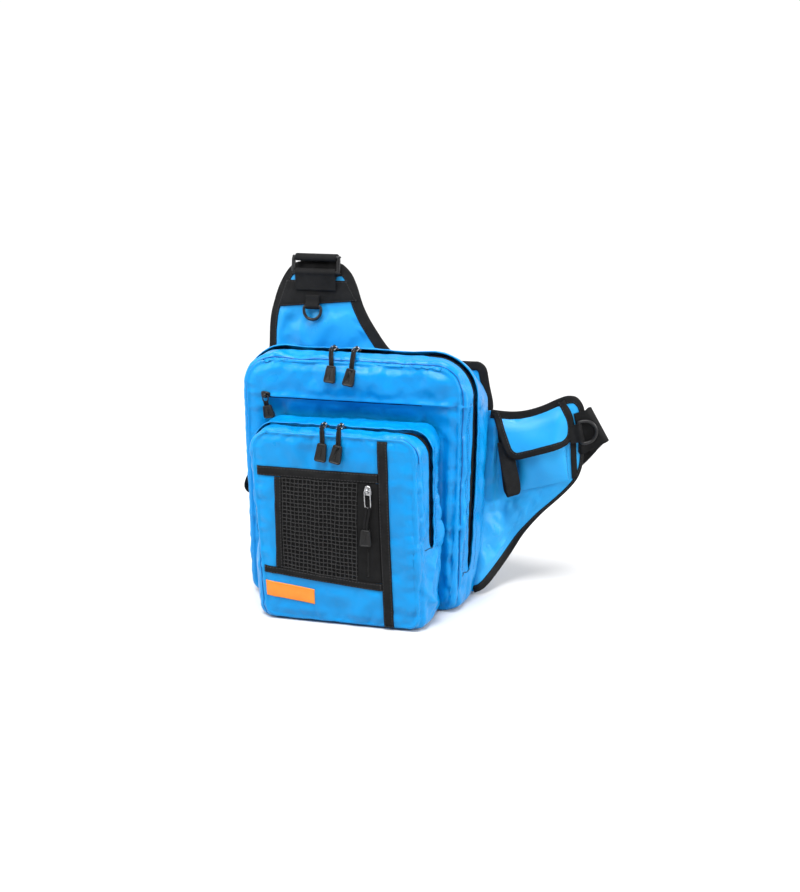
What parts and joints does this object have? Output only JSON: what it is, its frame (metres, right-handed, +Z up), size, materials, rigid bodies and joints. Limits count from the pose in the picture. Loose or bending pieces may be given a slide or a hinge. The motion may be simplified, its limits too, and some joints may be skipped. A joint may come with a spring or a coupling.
{
  "type": "shoulder bag",
  "caption": "Standing one-shoulder sling bag with a deep zipped main compartment, a front pocket with net, a padded shoulder yoke and a hip wing.",
  "frame": {"origin": "on the underside of the main compartment, in the middle of its base", "axes": "+X to the right seen from the front, +Y to the back panel, +Z up"},
  "size_m": [0.4142, 0.2536, 0.3834],
  "materials": {
    "blue_cloth": "coated plain weave, soft sheen",
    "black_webbing": "ribbed webbing, matte",
    "black_tape": "folded binding tape, matte",
    "black_net": "knotless net, matte",
    "zip_tape": "woven zip tape with a coil",
    "orange_label": "smooth woven patch",
    "dark_plastic": "moulded, satin",
    "pull_rubber": "moulded grip, matte",
    "pull_cord": "braided cord",
    "slider_metal": "plated, bright"
  },
  "bodies": {
    "bag": {"main_shell": "blue_cloth", "main_zipper": "zip_tape", "welt_zipper": "zip_tape", "welt_flap": "blue_cloth", "pocket_shell": "blue_cloth", "pocket_zipper": "zip_tape", "band_top": "black_tape", "band_bottom": "black_tape", "band_upright": "black_tape", "net_edge": "black_tape", "net_zipper": "zip_tape", "net_panel": "black_net", "label_patch": "orange_label", "back_panel": "blue_cloth", "back_binding": "black_tape", "shoulder_wing": "blue_cloth", "shoulder_binding": "black_tape", "shoulder_patch": "black_webbing", "square_ring": "dark_plastic", "ring_loop": "black_webbing", "strap_loop": "black_webbing", "d_tab_shoulder": "black_webbing", "hip_wing": "blue_cloth", "hip_binding": "black_tape", "wing_pocket": "blue_cloth", "wing_flap": "blue_cloth", "flap_binding": "black_tape", "wing_tape": "black_tape", "tool_loop": "black_webbing", "tip_webbing": "black_webbing", "d_tab_hip": "black_webbing", "strap": "black_webbing", "side_loop": "black_webbing", "main_a_slider": "slider_metal", "main_a_wire": "slider_metal", "main_a_cord": "pull_cord", "main_a_grip": "pull_rubber", "main_b_slider": "slider_metal", "main_b_wire": "slider_metal", "main_b_cord": "pull_cord", "main_b_grip": "pull_rubber", "pocket_a_slider": "slider_metal", "pocket_a_wire": "slider_metal", "pocket_a_cord": "pull_cord", "pocket_a_grip": "pull_rubber", "pocket_b_slider": "slider_metal", "pocket_b_wire": "slider_metal", "pocket_b_cord": "pull_cord", "pocket_b_grip": "pull_rubber", "welt_slider": "slider_metal", "welt_wire": "slider_metal", "welt_cord": "pull_cord", "welt_grip": "pull_rubber", "net_slider": "slider_metal", "net_wire": "slider_metal", "net_cord": "pull_cord", "net_grip": "pull_rubber"},
    "shoulder_d": {"d_ring_shoulder": "dark_plastic"},
    "hip_d": {"d_ring_hip": "dark_plastic"}
  },
  "joints": [
    {"name": "shoulder_d_swing", "type": "hinge", "parent": "bag", "child": "shoulder_d", "pos_m": [-0.0764, 0.04709, 0.323], "axis": [-1, 0, 0], "range_deg": [0, 150]},
    {"name": "hip_d_swing", "type": "hinge", "parent": "bag", "child": "hip_d", "pos_m": [0.2385, 0.0543, 0.19], "axis": [0.2099, 0, -0.9777], "range_deg": [0, 140]}
  ]
}
